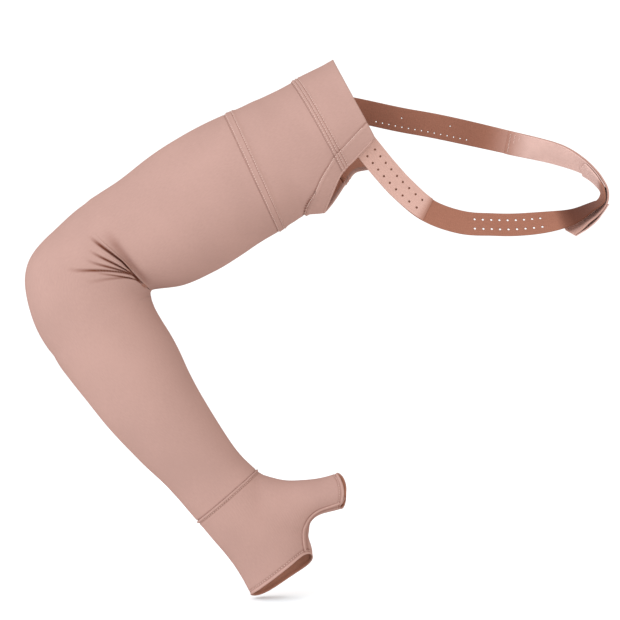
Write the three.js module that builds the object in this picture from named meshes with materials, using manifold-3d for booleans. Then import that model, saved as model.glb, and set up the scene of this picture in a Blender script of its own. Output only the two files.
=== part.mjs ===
// Compression arm sleeve with a thumb gauntlet and a shoulder strap, filled out as if worn, elbow bent.
// Millimetres, +Z up. The arm lies in the XZ plane: shoulder at the right, elbow at the left, hand below.
// -Y is the front, where the thumb points right. The origin is the centre of the shoulder cap's open end.
import * as THREE from "three";
import { mergeVertices } from "three/addons/utils/BufferGeometryUtils.js";
import Module from "manifold-3d";

const wasm = await Module();
wasm.setup();

// Cloth
const WALL = 1.4; // the knit's thickness
const GAP = 0.3; // clearance between pieces at a seam
const LAP = 6; // how far one knit panel laps over the next at a flat seam
const FADE = 9; // length over which a lapped panel comes down to the common surface again
const AROUND = 24; // facets round the arm, the palm and the thumb
const STRAIGHT_STEP = 18; // spacing of the rings along the straight stretches of the arm
const BEND_STEP = 12; // round the elbow
const CREASE_STEP = 4.6; // and where the elbow's creases run
const CAP_STEP = 11; // along the shoulder cap
const NOTCH_STEP = 8.5; // along the armhole
const LAPPED = [-LAP, 1, 5, 10]; // rings of a lapped panel, from its seam: its free edge, then its fall
const PALM_RINGS = [1, 5, 10, 20, 34, 47, 57, 66, 75, 84];
const THUMB_RINGS = [0, 12, 24, 31, 38, 46, 56, 65, 74];

// Stations of the seams and of the bend, measured along the arm's centre line from the wrist
const WRIST_SEAM = 0;
const BEND_FROM = 200;
const CREASES_FROM = 236;
const BEND_TO = 296;
const ARM_SEAM = 438;
const NOTCH = 480; // lowest point of the armhole
const SHOULDER_SEAM = 514;
const NECK_EDGE = 556;
const NECK_CUT = 4.8; // how far the neck edge is cut back at the front
const NECK_CUT_FROM = 521; // station up to which that leaves the cloth alone

// Sections of the sleeve. (x, z) is the end of the section on the side of the elbow's crook and the
// underarm. tilt is the direction, in degrees from +X, from there to the elbow side and the shoulder's top.
// width runs along it, depth is front to back. front and back say how many degrees of the ring the
// cloth covers on that side, counted from the shoulder's top; 180 is all of it.
const SLEEVE = [
  { at: 0, x: -101.4, z: -337.5, tilt: 221, width: 74, depth: 58, front: 180, back: 180 },
  { at: 34, x: -121.8, z: -316.9, tilt: 213, width: 73, depth: 61, front: 180, back: 180 },
  { at: 74, x: -143.7, z: -283.6, tilt: 213, width: 82, depth: 70, front: 180, back: 180 },
  { at: 113, x: -163, z: -249.8, tilt: 213, width: 91.5, depth: 80, front: 180, back: 180 },
  { at: 149, x: -178.8, z: -216.8, tilt: 213, width: 100, depth: 88, front: 180, back: 180 },
  { at: 186, x: -197.2, z: -185.4, tilt: 213, width: 105, depth: 93, front: 180, back: 180 },
  { at: 200, x: -201.9, z: -171.7, tilt: 212, width: 108, depth: 95, front: 180, back: 180 },
  { at: 224, x: -202.4, z: -170.2, tilt: 190, width: 114.5, depth: 96, front: 180, back: 180 },
  { at: 249, x: -202.4, z: -168.6, tilt: 167.5, width: 119.5, depth: 97, front: 180, back: 180 },
  { at: 273, x: -201.8, z: -167.2, tilt: 145, width: 107, depth: 98, front: 180, back: 180 },
  { at: 296, x: -200.6, z: -166.1, tilt: 123, width: 104.5, depth: 100, front: 180, back: 180 },
  { at: 325, x: -170.5, z: -161.4, tilt: 121, width: 117, depth: 104, front: 180, back: 180 },
  { at: 357, x: -141.2, z: -148.1, tilt: 121, width: 124.5, depth: 107, front: 180, back: 180 },
  { at: 385, x: -117.4, z: -133.9, tilt: 121, width: 126, depth: 110, front: 180, back: 180 },
  { at: 414, x: -95.9, z: -119.6, tilt: 118, width: 124, depth: 112, front: 180, back: 180 },
  { at: 438, x: -78.3, z: -109.2, tilt: 114.5, width: 122, depth: 112, front: 180, back: 180 },
  { at: 452, x: -66.2, z: -101.3, tilt: 115, width: 119.5, depth: 112, front: 180, back: 180 },
  { at: 466, x: -54.1, z: -94.5, tilt: 116, width: 118.5, depth: 112, front: 180, back: 180 },
  { at: 480, x: -37.5, z: -92.5, tilt: 118.5, width: 123.5, depth: 112, front: 180, back: 180 },
  { at: 499, x: -19, z: -83.7, tilt: 118.8, width: 123.5, depth: 112, front: 137, back: 146 },
  { at: 514, x: -7.5, z: -75, tilt: 118.8, width: 121.5, depth: 112, front: 128, back: 137 },
  { at: 526, x: 2.7, z: -68.4, tilt: 118.8, width: 120.6, depth: 112, front: 125, back: 131 },
  { at: 539, x: 13.8, z: -61.3, tilt: 118.8, width: 119.8, depth: 112, front: 122, back: 138 },
  { at: 556, x: 28.6, z: -52, tilt: 118.8, width: 119, depth: 112, front: 118, back: 150 },
];

// Sections of the gauntlet's palm, from the wrist to the fingers, and of its thumb, from inside the palm
// to the thumb's mouth. (x, z) is the section's end on the side of the crotch between thumb and fingers.
const PALM = [
  { at: 0, x: -101.4, z: -337.5, tilt: 221, width: 74, depth: 58 },
  { at: 23, x: -84.2, z: -357.1, tilt: 217, width: 75, depth: 54 },
  { at: 47, x: -68, z: -378, tilt: 212.5, width: 74.5, depth: 48 },
  { at: 66, x: -55.5, z: -396.5, tilt: 209.8, width: 74, depth: 44 },
  { at: 84, x: -53.1, z: -410.6, tilt: 214.3, width: 70.1, depth: 41 },
];
const THUMB = [
  { at: 0, x: -77.5, z: -408.4, tilt: 108, width: 73, depth: 44 },
  { at: 24, x: -52.5, z: -395.5, tilt: 124.6, width: 64.4, depth: 40 },
  { at: 37, x: -49.8, z: -386.2, tilt: 119.1, width: 45.2, depth: 36.5 },
  { at: 49, x: -44, z: -379.3, tilt: 107.8, width: 34.7, depth: 33.5 },
  { at: 65, x: -31.9, z: -374.7, tilt: 101, width: 31.8, depth: 31 },
  { at: 77, x: -22.9, z: -371.8, tilt: 93.5, width: 32.8, depth: 30 },
];
// How each mouth is cut: back is how much further the back of the hand reaches than the palm, whose share
// at the mouth's two ends is set by even and, for the crotch side over the other, by lean. bulge is how far
// both middles reach past the ends besides, and slant how far the palm reaches at the end off the crotch.
const FINGER_CUT = { back: 12.7, even: 0.465, lean: 0.08, bulge: 0, slant: 4.4 };
const THUMB_CUT = { back: 4.5, even: 0.35, lean: 0, bulge: 4.5, slant: 0 };
const BACK_LEAN = 0.6; // how strongly the reach favours the back of the hand over the palm

// Soft creases that fan out from the elbow's crook: station, depth, half breadth, and how many degrees of
// the ring, from the crook, the crease covers before it fades.
const CREASES = [
  { at: 288, depth: 2.0, breadth: 3.6, reach: 78 },
  { at: 277, depth: 2.6, breadth: 3.2, reach: 100 },
  { at: 267, depth: 2.0, breadth: 3.0, reach: 92 },
  { at: 256, depth: 1.8, breadth: 3.2, reach: 104 },
  { at: 243, depth: 1.2, breadth: 3.6, reach: 70 },
];
const CREASE_FADE = 45; // degrees of the ring over which a crease runs out

// Hems
const HEM_WALL = 1; // the turned-in layer along the armhole
const HEM_WIDTH = 15;
const HEM_INSET = 0.5; // how far it stays back from the edge
const HEM_CLEAR = 1.4; // its clearance to the cloth, whose facets it crosses
const HEM_RUNS = 14; // facets along each half of it
const HEM_BANDS = 3; // and across it
const ROLL = 2.6; // thickness of the rolled hems at the fingers and the thumb

// Strap: flat tape through the points below, which are its middle line. roll turns the tape about its
// run: at 0 its inner face looks to the front, at 90 its width runs front to back.
const TAPE_WIDTH = 24;
const TAPE = 1.6; // thickness of the strap's tape
const PATCH = 1; // thickness of the soft layers sewn or pressed onto it
const LOOP = [
  { x: -20, y: 47.4, z: 13, roll: 17 },
  { x: 2, y: 51.5, z: 9, roll: 8 },
  { x: 37, y: 48, z: 1, roll: 4 },
  { x: 74, y: 42, z: -6.5, roll: 10 },
  { x: 139, y: 30, z: -22.5, roll: 28 },
  { x: 189, y: 18, z: -36, roll: 45 },
  { x: 211, y: 10, z: -47.5, roll: 70 },
  { x: 225, y: 4, z: -61, roll: 86 },
  { x: 230, y: 0, z: -72, roll: 92 },
  { x: 227, y: -2, z: -84, roll: 80 },
  { x: 214, y: -3, z: -91, roll: 70 },
  { x: 197, y: -4, z: -97.5, roll: 52 },
  { x: 171.5, y: -6, z: -102, roll: 32 },
  { x: 145.5, y: -8, z: -104.5, roll: 25 },
  { x: 121, y: -10, z: -104.5, roll: 25 },
  { x: 91.5, y: -13, z: -102.5, roll: 21 },
  { x: 60, y: -17, z: -91.5, roll: 18 },
  { x: 36, y: -21, z: -72, roll: 5 },
  { x: 19, y: -28.5, z: -54.5, roll: 0 },
  { x: 4, y: -38, z: -37.5, roll: 0 },
  { x: -7, y: -46, z: -25, roll: 0 },
];
const TAIL = [
  { x: 219, y: -2, z: -93.5, roll: 77 },
  { x: 210, y: -3, z: -100.5, roll: 75 },
  { x: 203, y: -4, z: -106, roll: 71 },
  { x: 195, y: -5, z: -111, roll: 66 },
];
const OVERLAP_FROM = 5; // row of LOOP near which the front tape ends, on the back tape
const OVERLAP_TO = 9; // row of LOOP after which the back tape's free end parts from the front tape
const FACING_END = 4; // rows of LOOP from its end that the light facing covers
const PATCH_FROM = 4; // rows of LOOP between which the soft patch lies
const PATCH_TO = 8;
const FRONT_STARTS = 1.1; // rows past OVERLAP_FROM at which the front tape ends
const TAB_BULGE = 2.5; // how far the hook tab stands off the tail halfway along
const MERGE = 1e-3; // points nearer than this are one

const radians = THREE.MathUtils.degToRad;
const knit = { color: 0xcfa596, roughness: 0.85, metalness: 0 };
const tapeLight = { color: 0xe0b3a2, roughness: 0.8, metalness: 0 };
const tapeBrown = { color: 0xa0705c, roughness: 0.8, metalness: 0 };

// A table's columns as smooth functions of its stations.
function tableReader(rows) {
  const columns = Object.keys(rows[0]).filter((name) => name !== "at");
  const stations = rows.map((row) => row.at);
  const values = rows.flatMap((row) => columns.map((name) => row[name]));
  const curve = new THREE.CubicInterpolant(stations, values, columns.length);
  return (at) => {
    const found = curve.evaluate(at);
    return Object.fromEntries(columns.map((name, i) => [name, found[i]]));
  };
}

// The point of a section's ellipse at an angle from its far end, moved out by a lift.
function ringPoint(section, angle, lift) {
  const out = new THREE.Vector3(Math.cos(radians(section.tilt)), 0, Math.sin(radians(section.tilt)));
  const half = section.width / 2;
  return new THREE.Vector3(section.x, 0, section.z)
    .addScaledVector(out, half + (half + lift) * Math.cos(radians(angle)))
    .add(new THREE.Vector3(0, -(section.depth / 2 + lift) * Math.sin(radians(angle)), 0));
}

// The mean radius of the sleeve at a station.
function ringRadius(at) {
  const { width, depth } = sleeveSection(at);
  return (width + depth) / 4;
}

// The wall between two grids of points, row by row, closed along all its edges. Where a row's first
// and last points are one, the wall goes all round.
function wallGeometry(outer, inner) {
  const rows = outer.length;
  const columns = outer[0].length;
  const positions = [...outer, ...inner].flat().flatMap((point) => point.toArray());
  const index = [];
  const out = (i, j) => i * columns + j;
  const within = (i, j) => (rows + i) * columns + j;
  const quad = (a, b, c, d) => index.push(a, b, c, a, c, d);
  const last = columns - 1;
  const isRing = (i) => outer[i][0].distanceTo(outer[i][last]) < MERGE;
  for (let i = 0; i + 1 < rows; i++) {
    for (let j = 0; j < last; j++) {
      quad(out(i, j), out(i, j + 1), out(i + 1, j + 1), out(i + 1, j));
      quad(within(i, j), within(i + 1, j), within(i + 1, j + 1), within(i, j + 1));
    }
    if (!isRing(i) || !isRing(i + 1)) {
      quad(out(i, 0), out(i + 1, 0), within(i + 1, 0), within(i, 0));
      quad(out(i, last), within(i, last), within(i + 1, last), out(i + 1, last));
    }
  }
  for (let j = 0; j < last; j++) {
    quad(out(0, j), within(0, j), within(0, j + 1), out(0, j + 1));
    quad(out(rows - 1, j), out(rows - 1, j + 1), within(rows - 1, j + 1), within(rows - 1, j));
  }
  return closedGeometry(positions, index);
}

// A closed geometry that faces out, with its shared vertices merged and no collapsed triangles.
function closedGeometry(positions, index) {
  const loose = new THREE.BufferGeometry();
  loose.setAttribute("position", new THREE.Float32BufferAttribute(positions, 3));
  loose.setIndex(index);
  const merged = mergeVertices(loose, MERGE);
  const kept = [];
  const corners = merged.index.array;
  for (let i = 0; i < corners.length; i += 3) {
    const [a, b, c] = corners.slice(i, i + 3);
    if (a !== b && b !== c && c !== a) kept.push(a, b, c);
  }
  const corner = (i) => new THREE.Vector3().fromBufferAttribute(merged.attributes.position, kept[i]);
  let volume = 0;
  for (let i = 0; i < kept.length; i += 3) volume += corner(i).dot(corner(i + 1).cross(corner(i + 2)));
  return merged.setIndex(volume < 0 ? kept.reverse() : kept);
}

function mesh(name, geometry, look) {
  geometry.computeVertexNormals();
  const made = new THREE.Mesh(geometry, new THREE.MeshStandardMaterial(look));
  made.name = name;
  return made;
}

const steps = (from, to, step) => {
  const count = Math.max(1, Math.round((to - from) / step));
  return Array.from({ length: count + 1 }, (_, i) => from + ((to - from) * i) / count);
};
const stations = (...runs) => [...new Set(runs.flat())].sort((a, b) => a - b);

const sleeveSection = tableReader(SLEEVE);
const palmSection = tableReader(PALM);
const thumbSection = tableReader(THUMB);

// Past the notch the edges open with the square root of the way, so the notch's bottom is round.
const openings = tableReader(
  SLEEVE.filter((row) => row.at >= NOTCH).map((row) => ({
    at: Math.sqrt(row.at - NOTCH),
    front: row.front,
    back: row.back,
  })),
);
function cover(at) {
  return at <= NOTCH ? { front: 180, back: 180 } : openings(Math.sqrt(at - NOTCH));
}

// How far the creases push the cloth in at a station and an angle from the elbow side.
function creaseDepth(at, angle) {
  const fromCrook = 180 - Math.abs(angle);
  return CREASES.reduce((sum, crease) => {
    const across = Math.exp(-(((at - crease.at) / crease.breadth) ** 2));
    const along = THREE.MathUtils.smoothstep(crease.reach - fromCrook, 0, CREASE_FADE);
    return sum + crease.depth * across * along;
  }, 0);
}

// A lapped panel stands off the one below it, then comes down to the common surface.
function lapLift(at, seam) {
  return (WALL + GAP) * (1 - THREE.MathUtils.smoothstep(at, seam + 1, seam + 1 + FADE));
}

// Where the cloth meant for a station lies: the neck edge is cut back along the arm's front.
function cutBack(at, angle) {
  const way = Math.max(0, (at - NECK_CUT_FROM) / (NECK_EDGE - NECK_CUT_FROM));
  const out = Math.sin(radians(angle));
  return at - NECK_CUT * way * (Math.cos(radians(angle)) > 0 ? Math.max(0, out) : Number(out > 0));
}

function sleevePanel(stops, lift) {
  const grid = (depth) =>
    stops.map((at) => {
      const { front, back } = cover(at);
      return Array.from({ length: AROUND + 1 }, (_, j) => {
        const angle = -back + ((front + back) * j) / AROUND;
        const section = sleeveSection(cutBack(at, angle));
        return ringPoint(section, angle, lift(at) - depth - creaseDepth(at, angle));
      });
    });
  return wallGeometry(grid(0), grid(WALL));
}

function armTube() {
  const stops = stations(
    steps(WRIST_SEAM, BEND_FROM, STRAIGHT_STEP),
    steps(BEND_FROM, CREASES_FROM, BEND_STEP),
    steps(CREASES_FROM, BEND_TO, CREASE_STEP),
    steps(BEND_TO, ARM_SEAM, STRAIGHT_STEP),
  );
  return mesh("arm_tube", sleevePanel(stops, () => 0), knit);
}

function shoulderPanel() {
  const fromSeam = [...LAPPED, 19, 30].map((way) => ARM_SEAM + way);
  const fromNotch = [0, 0.8, 3, 7, 14].map((way) => NOTCH + way);
  const stops = stations(fromSeam, fromNotch, steps(fromNotch.at(-1), SHOULDER_SEAM, NOTCH_STEP));
  return mesh("shoulder_panel", sleevePanel(stops, (at) => lapLift(at, ARM_SEAM)), knit);
}

function shoulderCap() {
  const fromSeam = LAPPED.map((way) => SHOULDER_SEAM + way);
  const stops = stations(fromSeam, steps(fromSeam.at(-1), NECK_EDGE, CAP_STEP));
  return mesh("shoulder_cap", sleevePanel(stops, (at) => lapLift(at, SHOULDER_SEAM)), knit);
}

// The armhole's turned-in hem, inside the edge of the panel and the cap, from the back corner (turn -1)
// round the notch (0) to the front corner (1). It is laid out flat: station, and way round from the crook.
function armholeHem() {
  const edge = (turn) => {
    const at = NOTCH + turn * turn * (NECK_EDGE - NOTCH);
    const covered = turn > 0 ? cover(at).front : cover(at).back;
    const around = ringRadius(at) * radians(180 - covered);
    return new THREE.Vector2(at, Math.sign(turn) * around);
  };
  const near = 0.02;
  const inward = (turn) => {
    const run = edge(Math.min(1, turn + near)).sub(edge(Math.max(-1, turn - near)));
    return new THREE.Vector2(-run.y, run.x).normalize();
  };
  const layer = (lift) =>
    steps(-1, 1, 1 / HEM_RUNS).map((turn) =>
      steps(HEM_INSET, HEM_INSET + HEM_WIDTH, HEM_WIDTH / HEM_BANDS).map((way) => {
        const spot = edge(turn).addScaledVector(inward(turn), way);
        const angle = 180 - THREE.MathUtils.radToDeg(spot.y / ringRadius(spot.x));
        return ringPoint(sleeveSection(cutBack(spot.x, angle)), angle, lift);
      }),
    );
  const outside = -WALL - HEM_CLEAR;
  return mesh("armhole_hem", wallGeometry(layer(outside), layer(outside - HEM_WALL)), knit);
}

// How far a ring's point reaches past the plain end of a mouth.
function reachOf(cut, angle) {
  const [along, out] = [Math.cos(radians(angle)), Math.sin(radians(angle))];
  const share = THREE.MathUtils.smoothstep(cut.even - BACK_LEAN * out - cut.lean * along, 0, 1);
  return cut.back * share + (cut.slant * (1 - share) * (1 + along)) / 2 + cut.bulge * out ** 2;
}

// A tube of the gauntlet: its sections and rings, and which way, in degrees from a section's tilt, it runs.
const PALM_TUBE = { section: palmSection, rings: PALM_RINGS, cut: FINGER_CUT, side: 90 };
const THUMB_TUBE = { section: thumbSection, rings: THUMB_RINGS, cut: THUMB_CUT, side: -90 };
const BACK_RUN = 30; // length before a mouth over which the back of the hand starts to reach further
const endOf = (tube) => tube.rings.at(-1);

// The direction in which a tube of the gauntlet runs at its end.
function endRun(tube) {
  const heading = radians(tube.section(endOf(tube)).tilt + tube.side);
  return new THREE.Vector3(Math.cos(heading), 0, Math.sin(heading));
}

function tubeRing(tube, at, lift, further = 0) {
  const run = endRun(tube);
  const bend = THREE.MathUtils.smoothstep(at, endOf(tube) - BACK_RUN, endOf(tube));
  return Array.from({ length: AROUND }, (_, j) => {
    const angle = -180 + (360 * j) / AROUND;
    const shift = further + bend * reachOf(tube.cut, angle);
    return ringPoint(tube.section(at), angle, lift).addScaledVector(run, shift);
  });
}

// A closed solid through rings of equal numbers of points, with a fan over each end.
function loftSolid(rings) {
  const count = rings[0].length;
  const middle = (ring) => ring.reduce((sum, p) => sum.add(p), new THREE.Vector3()).divideScalar(count);
  const ends = [middle(rings[0]), middle(rings.at(-1))];
  const positions = [...rings.flat(), ...ends].flatMap((point) => point.toArray());
  const first = rings.length * count;
  const top = (rings.length - 1) * count;
  const index = [];
  for (let j = 0; j < count; j++) {
    const next = (j + 1) % count;
    for (let i = 0; i + 1 < rings.length; i++) {
      const [a, b] = [i * count + j, i * count + next];
      index.push(a, b, b + count, a, b + count, a + count);
    }
    index.push(first, next, j, first + 1, top + j, top + next);
  }
  return solidOf(closedGeometry(positions, index));
}

function solidOf(geometry) {
  return new wasm.Manifold(
    new wasm.Mesh({
      numProp: 3,
      vertProperties: geometry.attributes.position.array,
      triVerts: new Uint32Array(geometry.index.array),
    }),
  );
}

function geometryOf(solid) {
  const made = solid.getMesh();
  return closedGeometry([...made.vertProperties], [...made.triVerts]);
}

// Palm and thumb are one knitted piece: the two tubes joined, less the two hollows joined.
function gauntlet() {
  const past = 4; // how far a hollow runs on past the cloth's edge
  const wrist = (at, lift) => {
    const section = sleeveSection(at);
    return Array.from({ length: AROUND }, (_, j) => ringPoint(section, -180 + (360 * j) / AROUND, lift));
  };
  const rings = (tube, depth, lapped) => [
    ...tube.rings.map((at) => tubeRing(tube, at, lapped(at) - depth)),
    ...(depth ? [tubeRing(tube, endOf(tube), -depth, past)] : []),
  ];
  const palm = (depth) => rings(PALM_TUBE, depth, (at) => lapLift(at, WRIST_SEAM));
  const thumb = (depth) => rings(THUMB_TUBE, depth, () => 0);
  const stand = WALL + GAP;
  const outside = loftSolid([wrist(LAP, stand), ...palm(0)]).add(loftSolid(thumb(0)));
  const hollow = loftSolid([wrist(LAP + past, GAP), wrist(LAP, GAP), ...palm(WALL)]).add(
    loftSolid(thumb(WALL)),
  );
  return mesh("gauntlet", geometryOf(outside.subtract(hollow)), knit);
}

// A rolled hem: a round cord of cloth on the edge of one of the gauntlet's mouths.
function rolledHem(name, tube) {
  const run = endRun(tube);
  const inside = tubeRing(tube, endOf(tube), -WALL / 2 - 1, GAP + ROLL / 2);
  const middle = tubeRing(tube, endOf(tube), -WALL / 2, GAP + ROLL / 2);
  const facets = 6;
  const loops = middle.map((point, j) => {
    const across = point.clone().sub(inside[j]).normalize();
    return Array.from({ length: facets }, (_, k) => {
      const turn = (2 * Math.PI * k) / facets;
      return point
        .clone()
        .addScaledVector(across, (ROLL / 2) * Math.cos(turn))
        .addScaledVector(run, (ROLL / 2) * Math.sin(turn));
    });
  });
  const index = [];
  for (let j = 0; j < loops.length; j++) {
    const after = (j + 1) % loops.length;
    for (let k = 0; k < facets; k++) {
      const next = (k + 1) % facets;
      const [a, b] = [j * facets + k, j * facets + next];
      const [c, d] = [after * facets + next, after * facets + k];
      index.push(a, b, c, a, c, d);
    }
  }
  const positions = loops.flat().flatMap((point) => point.toArray());
  return mesh(name, closedGeometry(positions, index), knit);
}

// A stretch of flat tape along rows of the strap's table. lift is how far its middle lies from the
// table's line towards the tape's inner face, at each row.
function tape(name, rows, from, to, lift, thickness, look) {
  const points = rows.map((row) => new THREE.Vector3(row.x, row.y, row.z));
  const line = new THREE.CatmullRomCurve3(points, false, "centripetal");
  const rolls = new THREE.CatmullRomCurve3(rows.map((row) => new THREE.Vector3(row.roll, 0, 0)));
  rolls.curveType = "catmullrom";
  const last = rows.length - 1;
  const layer = (side) =>
    steps(from, to, 1 / 3).map((row) => {
      const run = line.getTangent(row / last);
      const front = new THREE.Vector3(0, -1, 0).addScaledVector(run, run.y).normalize();
      const roll = radians(rolls.getPoint(row / last).x);
      const facing = front.clone().applyAxisAngle(run, roll);
      const across = new THREE.Vector3().crossVectors(run, facing);
      const middle = line.getPoint(row / last).addScaledVector(facing, lift(row) + (side * thickness) / 2);
      return [-1, 0, 1].map((edge) => middle.clone().addScaledVector(across, (edge * TAPE_WIDTH) / 2));
    });
  return mesh(name, wallGeometry(layer(1), layer(-1)), look);
}

// The strap's layers: the back tape with its free tail, the soft patch on it, the front tape that is
// pressed onto the patch, the light facing next to the sleeve, and the hook tab under the tail.
function strap() {
  const { smoothstep } = THREE.MathUtils;
  const backRows = [...LOOP.slice(0, OVERLAP_TO + 1), ...TAIL];
  const frontRows = LOOP.slice(OVERLAP_FROM);
  const frontEnd = frontRows.length - 1;
  const tailEnd = backRows.length - 1;
  const onTape = TAPE / 2 + GAP + PATCH / 2;
  const onPatch = onTape + PATCH / 2 + 2 * GAP + TAPE / 2;
  const frontLift = (row) => onPatch * (1 - smoothstep(row + OVERLAP_FROM, OVERLAP_TO, OVERLAP_TO + 3));
  const facingLift = (row) => onTape + frontLift(row);
  const tabLift = (row) => {
    const share = (tailEnd - row) / (tailEnd - OVERLAP_TO);
    return -onTape - TAB_BULGE * Math.sin(Math.PI * share) ** 2;
  };
  return [
    tape("strap_back", backRows, 0, tailEnd, () => 0, TAPE, tapeBrown),
    tape("strap_patch", backRows, PATCH_FROM, PATCH_TO, () => onTape, PATCH, tapeLight),
    tape("strap_front", frontRows, FRONT_STARTS, frontEnd, frontLift, TAPE, tapeBrown),
    tape("strap_facing", frontRows, frontEnd - FACING_END, frontEnd, facingLift, PATCH, tapeLight),
    tape("strap_hook_tab", backRows, OVERLAP_TO, tailEnd, tabLift, PATCH, tapeLight),
  ];
}

const sleeve = new THREE.Group();
sleeve.add(armTube(), shoulderPanel(), shoulderCap(), armholeHem());
sleeve.add(gauntlet(), rolledHem("finger_hem", PALM_TUBE), rolledHem("thumb_hem", THUMB_TUBE));
sleeve.add(...strap());

export default sleeve;
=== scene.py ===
"""Compression arm sleeve with a thumb gauntlet and a shoulder strap, filled out, with the elbow bent.

The finished cloth, seams, hems and strap, built round the fixed frame. Tables and lengths are in millimetres,
+Z up; the arm lies in the XZ plane with the shoulder at +X, and -Y is the front. Meshes are in metres.
"""
import math
from bisect import bisect_right
from collections import namedtuple
from functools import lru_cache
from itertools import groupby
from types import SimpleNamespace

import bmesh
import bpy
from bpy.props import FloatProperty, FloatVectorProperty, PointerProperty
from mathutils import Matrix, Vector, noise
from mathutils.bvhtree import BVHTree


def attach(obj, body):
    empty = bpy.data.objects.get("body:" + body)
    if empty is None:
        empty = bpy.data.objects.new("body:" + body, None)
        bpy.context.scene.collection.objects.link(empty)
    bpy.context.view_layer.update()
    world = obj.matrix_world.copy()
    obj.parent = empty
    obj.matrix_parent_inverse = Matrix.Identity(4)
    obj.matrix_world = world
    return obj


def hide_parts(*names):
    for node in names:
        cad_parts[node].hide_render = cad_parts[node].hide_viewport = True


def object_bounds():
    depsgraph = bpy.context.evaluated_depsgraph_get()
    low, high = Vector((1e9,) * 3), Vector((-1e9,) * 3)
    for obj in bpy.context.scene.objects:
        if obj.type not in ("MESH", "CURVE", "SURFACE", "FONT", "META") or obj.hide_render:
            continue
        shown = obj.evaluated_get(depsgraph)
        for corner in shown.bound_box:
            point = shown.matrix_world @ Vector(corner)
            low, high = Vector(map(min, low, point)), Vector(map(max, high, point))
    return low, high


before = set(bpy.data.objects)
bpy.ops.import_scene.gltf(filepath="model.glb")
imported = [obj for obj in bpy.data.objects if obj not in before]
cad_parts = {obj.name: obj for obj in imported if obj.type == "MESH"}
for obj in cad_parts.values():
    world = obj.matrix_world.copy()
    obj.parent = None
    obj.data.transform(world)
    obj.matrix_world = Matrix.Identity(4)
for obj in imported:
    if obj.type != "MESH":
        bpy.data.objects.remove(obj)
cad_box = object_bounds()

bl_info = {
    "name": "Compression Arm Sleeve",
    "version": (1, 0, 0),
    "blender": (4, 5, 0),
    "location": "View3D > Sidebar > Arm Sleeve",
    "description": "Builds the cloth, seams and strap of a compression arm sleeve",
    "category": "Object",
}

MM = 0.001
BODY = "root"

# ---- Form ------------------------------------

# Stations along the arm's centre line, from the wrist
ARM_SEAM = 438
NOTCH = 480  # lowest point of the armhole
SHOULDER_SEAM = 514
NECK_EDGE = 556
NECK_CUT = 4.8  # how far the neck edge is cut back at the front
NECK_CUT_FROM = 521  # station up to which that leaves the cloth alone

# Sections: (x, z) is the end on the side of the elbow's crook and the underarm, tilt the direction in degrees
# from +X to the other end, width runs along it, and depth is front to back.
SLEEVE = [
    (0, -101.4, -337.5, 221, 74, 58),
    (34, -121.8, -316.9, 213, 73, 61),
    (74, -143.7, -283.6, 213, 82, 70),
    (113, -163, -249.8, 213, 91.5, 80),
    (149, -178.8, -216.8, 213, 100, 88),
    (186, -197.2, -185.4, 213, 105, 93),
    (196, -201.2, -175.8, 212.7, 107, 94.4),
    (200, -201.9, -172.2, 211.6, 108, 95),
    (204, -202.2, -171.6, 208.6, 109.1, 95.2),
    (224, -202.3, -170.2, 190, 114.5, 96),
    (249, -202.3, -168.7, 167.5, 119.5, 97),
    (273, -201.8, -167.4, 145, 107, 98),
    (290, -201.3, -166.6, 128.5, 103.7, 99.4),
    (295, -200.4, -166.1, 124, 104.4, 99.9),
    (300, -197.4, -165.4, 121.5, 105.5, 100.5),
    (325, -170.5, -161.4, 121, 117, 104),
    (357, -141.2, -148.1, 121, 124.5, 107),
    (385, -117.4, -133.9, 121, 126, 110),
    (414, -95.9, -119.6, 118, 124, 112),
    (438, -78.3, -109.2, 114.5, 122, 112),
    (452, -66.2, -101.3, 115, 119.5, 112),
    (466, -54.1, -94.5, 116, 118.5, 112),
    (480, -37.5, -92.5, 118.5, 123.5, 112),
    (499, -19, -83.7, 118.8, 123.5, 112),
    (514, -7.5, -75, 118.8, 121.5, 112),
    (526, 2.7, -68.4, 118.8, 120.6, 112),
    (539, 13.8, -61.3, 118.8, 119.8, 112),
    (556, 28.6, -52, 118.8, 119, 112),
]
PALM = [
    SLEEVE[0],
    (23, -84.2, -357.1, 217, 75, 54),
    (47, -68, -378, 212.5, 74.5, 48),
    (66, -55.5, -396.5, 209.8, 74, 44),
    (84, -53.1, -410.6, 214.3, 70.1, 41),
]
THUMB = [
    (0, -77.5, -408.4, 108, 73, 44),
    (24, -55.2, -395.5, 124.6, 64.4, 40),
    (37, -52, -386.2, 119.1, 45.2, 36.5),
    (49, -44, -379.3, 107.8, 34.7, 33.5),
    (65, -31.9, -374.7, 101, 31.8, 31),
    (77, -22.9, -371.8, 93.5, 32.8, 30),
]
# Degrees of the ring that the cloth covers past the notch, front and back, counted from the shoulder's top
ARMHOLE = [
    (480, 180, 180), (499, 137, 146), (514, 128, 137), (526, 125, 131), (539, 122, 138), (556, 118, 150),
]

ELBOW = (225, 315)  # stations between which its creases lie
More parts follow.
